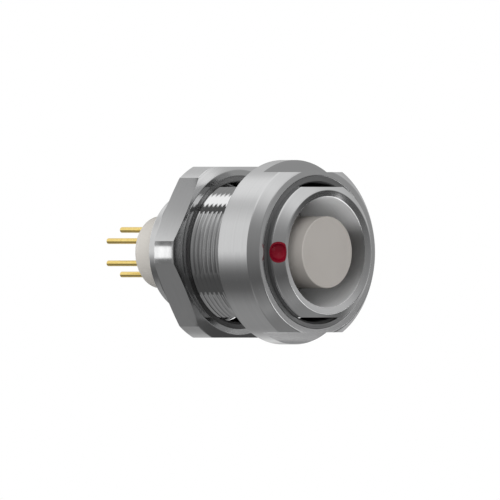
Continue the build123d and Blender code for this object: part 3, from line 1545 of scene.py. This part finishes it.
@dataclass(frozen=True)
class ArcCard:
    """Graded card bent around the thread and lit on its inner side alone. Lengths are in mm.

    The angles are measured upwards from the side of the dot, and the levels run from the lower
    edge at -1 to the upper edge at 1.
    """

    name: str = "arc_card"
    start: float = -10.5
    end: float = -5.7
    radius: float = 14.0
    middle_angle: float = 0.0
    half_angle: float = math.radians(75)
    segments: int = 60
    top_level: float = 2.2
    levels: tuple[Point, ...] = (
        (-1.0, 0.12), (-0.6, 0.1), (-0.36, 0.15), (-0.16, 0.3), (0.0, 0.4), (0.32, 0.46),
        (0.48, 0.65), (0.56, 0.75), (0.64, 0.5), (0.68, 0.15), (0.77, 0.15), (0.84, 1.2),
        (0.91, 1.9), (1.0, 2.0),
    )

    def build(self) -> None:
        """Bends the card and hangs it."""
        made, w, colour = glow(self.name, self.top_level, back_only=True)
        _, y, z = w.split(w.node("ShaderNodeTexCoord").outputs["Object"])
        angle = w.math("ARCTAN2", z, w.math("MULTIPLY", y, -1.0))
        past_middle = w.math("SUBTRACT", angle, self.middle_angle)
        share = w.math("DIVIDE", past_middle, self.half_angle)
        w.feed(colour, w.graded(share, self.levels, self.top_level))
        work = bmesh.new()
        rows = []
        for step in range(self.segments + 1):
            turn = self.middle_angle + self.half_angle * (2 * step / self.segments - 1)
            ends = (around_axis(x, self.radius, turn) for x in (self.start, self.end))
            rows.append([work.verts.new(place) for place in ends])
        for low, high in zip(rows, rows[1:]):
            work.faces.new((low[0], low[1], high[1], high[0]))
        hung(self.name, work, made)


UPPER_BAND = ArcCard(
    "upper_band",
    start=-8.9,
    end=-0.1,
    radius=8.4,
    middle_angle=math.radians(54),
    half_angle=math.radians(18),
    segments=20,
    levels=((-1.0, 0.12), (-0.62, 0.12), (-0.5, 1.45), (0.04, 1.45), (0.2, 0.38), (1.0, 0.38)),
)
LOWER_BAND = ArcCard(
    "lower_band",
    start=-8.9,
    end=-0.1,
    radius=8.4,
    middle_angle=math.radians(-28.5),
    half_angle=math.radians(9.5),
    segments=12,
    levels=((-1.0, 0.1), (0.5, 0.1), (1.0, 0.14)),
)


@dataclass(frozen=True)
class Floor:
    """Plain pale floor. Lengths are in metres."""

    height: float
    size: float = 4.0
    shade: Colour = (0.9, 0.9, 0.9)
    lift: float = 0.22
    rough: float = 0.9

    def build(self) -> None:
        """Lays the floor, which keeps the connector's shadow and looks a little paler."""
        work = bmesh.new()
        bmesh.ops.create_grid(work, x_segments=1, y_segments=1, size=self.size / 2)
        bmesh.ops.translate(work, verts=work.verts, vec=(0, 0, self.height))
        floor = mesh_from("floor", work)
        made, w, shader = Finish("floor_paper", self.shade, self.shade).started()
        seen = w.node("ShaderNodeLightPath").outputs["Is Camera Ray"]
        inputs = {
            "Base Color": (*self.shade, 1),
            "Roughness": self.rough,
            "Emission Color": (1.0, 1.0, 1.0, 1),
            "Emission Strength": w.math("MULTIPLY", seen, self.lift),
        }
        w.fill(shader, inputs)
        floor.data.materials.append(made)
        floor.visible_glossy = False


@dataclass(frozen=True)
class World:
    """White background with a plain, even light."""

    level: float = 0.25

    def build(self) -> None:
        """Shows white to the camera and to reflections, and lights at its own level."""
        world = bpy.data.worlds.new("studio")
        bpy.context.scene.world = world
        w = cleared(world)
        path = w.node("ShaderNodeLightPath").outputs
        seen = w.math("MAXIMUM", path["Is Camera Ray"], path["Is Glossy Ray"])
        seen = w.math("MAXIMUM", seen, path["Is Transmission Ray"])
        strength = w.mapped(seen, 0.0, 1.0, self.level, 1.0)
        inputs = {"Color": (1, 1, 1, 1), "Strength": strength}
        shade = w.node("ShaderNodeBackground", inputs)
        w.node("ShaderNodeOutputWorld", {"Surface": shade.outputs[0]})


def studio() -> None:
    """Sets up the camera, the lamps, the tent, the cards, the floor and the world."""
    camera = PhotoCamera()
    camera.build()
    bpy.context.scene.view_settings.view_transform = "Standard"
    Lamp("key_lamp", (-0.15, -0.35, 0.3), 0.3, 1.0).build()
    Lamp("side_lamp", (0.3, -0.32, 0.22), 0.3, 2.1).build()
    Lamp("front_lamp", (0.5, 0.0, 0.0), 0.1, 0.2).build()
    ReflectionTent().build(camera.azimuth)
    for card in (CORNER_CARD, FLAT_CARD, ArcCard(), UPPER_BAND, LOWER_BAND, LOW_CARD, HIGH_CARD):
        card.build()
    Floor(cad_bounds[0][2]).build()
    World().build()


def main() -> None:
    """Builds the studio and the connector, piece by piece."""
    logging.basicConfig(level=logging.INFO, format="%(name)s: %(message)s")
    studio()
    shared = Finishes()
    plate = TurnedMetal("shell_plate", (0.58, 0.582, 0.585), (0.55, 0.552, 0.555), 0.1, 0.14)
    # The bore's plate is lighter than the shell's: painted light for the deep bore. Its roughness and
    # its highlights drawn out along the axis are its real finish.
    bore = TurnedMetal(
        "bore_plate", (0.77, 0.77, 0.77), (0.726, 0.726, 0.726), 0.5, 0.56, along_axis=1.0
    )
    nut_plate = TurnedMetal("nut_plate", (0.58, 0.582, 0.585), (0.55, 0.552, 0.555), 0.11, 0.15)
    # The inner threads' plate is far darker than the nuts' own plate: painted shade for the threads
    # inside the nuts. Its higher roughness is the real finish.
    shaded_tap_plate = TurnedMetal(
        "tapped_plate", (0.3, 0.301, 0.303), (0.24, 0.241, 0.243), 0.5, 0.6, line_depth=0.0
    )
    # The crown's plate is lightened beyond its own grey: painted light for the foot of the bore.
    spring = TurnedMetal("spring_plate", (0.86, 0.85, 0.82), (0.8, 0.79, 0.76), 0.2, 0.3)
    gilt = TurnedMetal("gilt_plate", (0.95, 0.74, 0.28), (0.86, 0.64, 0.2), 0.2, 0.3)
    # The post's polymer is darker than the stem's: painted shade on the post in the bore.
    post = Polymer("post_polymer", (0.36, 0.34, 0.32), (0.345, 0.325, 0.305), 0.6)
    stem = Polymer("stem_polymer", (0.49, 0.47, 0.44), (0.46, 0.44, 0.41), 0.6)
    enamel = Enamel("red_enamel", (0.13, 0.0, 0.0075), (0.1, 0.0, 0.006))
    thread, ring = ThreadTree(), RingTree()
    shell_metal, nut_metal, gold = plate.build(shared), nut_plate.build(shared), gilt.build(shared)
    tapped = shaded_tap_plate.build(shared)
    ThreadedShell().build(thread, shell_metal, bore.build(shared), enamel.build(shared))
    RoundNut().build(thread, nut_metal, tapped)
    HexNut().build(thread, nut_metal, tapped)
    contacts, stem_polymer = Contacts(), stem.build(shared)
    contacts.build(ring, gold)
    passages = contacts.passages(ring, stem_polymer)
    Insulators().build(post.build(shared), stem_polymer, passages)
    EarthingCrown().build(ring, spring.build(shared))
    RetainingRing().build(shell_metal)


if __name__ == "__main__":
    main()
